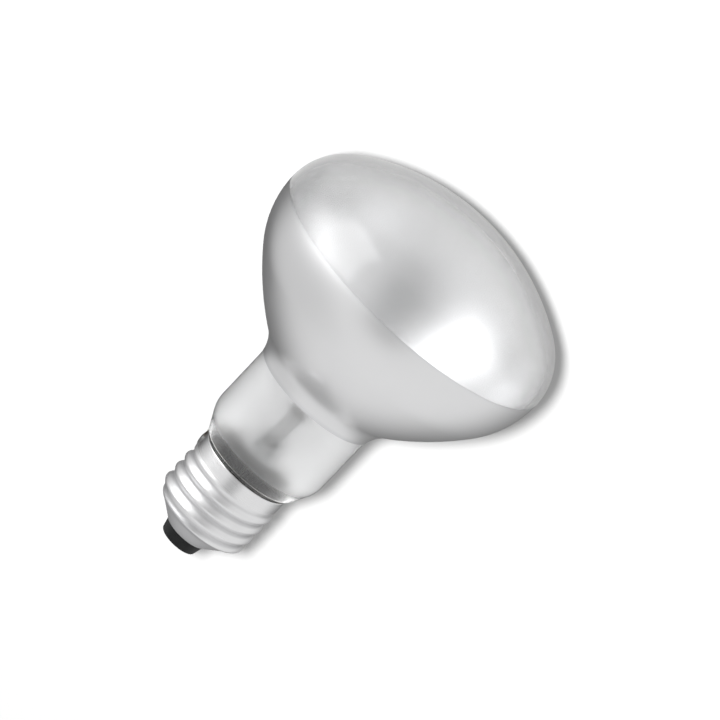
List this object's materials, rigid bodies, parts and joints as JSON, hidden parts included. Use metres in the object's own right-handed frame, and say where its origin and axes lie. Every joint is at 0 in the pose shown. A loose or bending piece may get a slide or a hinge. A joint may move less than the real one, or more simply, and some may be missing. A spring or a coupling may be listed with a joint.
{
  "type": "reflector bulb",
  "caption": "Reflector light bulb with a frosted crown and mirrored bowl on a metal screw cap; it screws into a lampholder and throws its light forward.",
  "frame": {"origin": "the flat lowest face of the solder on the centre contact, on the axis", "axes": "+Z is the bulb's axis from the cap to the crown; the side solder is at -X"},
  "size_m": [0.08, 0.08, 0.111],
  "materials": {
    "frosted_glass": "blown glass, frosted inside, clear in a band above the cap",
    "mirror_film": "bright metal film on the inside of the bowl",
    "stem_glass": "clear stem glass",
    "cap_aluminium": "bright rolled aluminium sheet",
    "insulator_glass": "black fused glass, glossy",
    "contact_brass": "stamped brass",
    "solder": "dull solder",
    "copper_wire": "bare copper-clad wire",
    "nickel_wire": "drawn nickel wire",
    "support_metal": "drawn hard wire",
    "filament_metal": "coiled dark grey wire",
    "cement": "baked cement"
  },
  "bodies": {
    "root": {"glass_envelope": "frosted_glass", "mirror_coating": "mirror_film", "stem_flare": "stem_glass", "exhaust_tube": "stem_glass", "support_rod": "stem_glass", "cap_shell": "cap_aluminium", "insulator": "insulator_glass", "centre_contact": "contact_brass", "centre_solder": "solder", "side_solder": "solder", "basing_cement": "cement", "seal_wire_side": "copper_wire", "seal_wire_centre": "copper_wire", "outer_lead_side": "copper_wire", "outer_lead_centre": "copper_wire", "inner_lead_side": "nickel_wire", "inner_lead_centre": "nickel_wire", "filament": "filament_metal", "support_wire_1": "support_metal", "support_wire_2": "support_metal", "support_wire_3": "support_metal"}
  },
  "joints": []
}
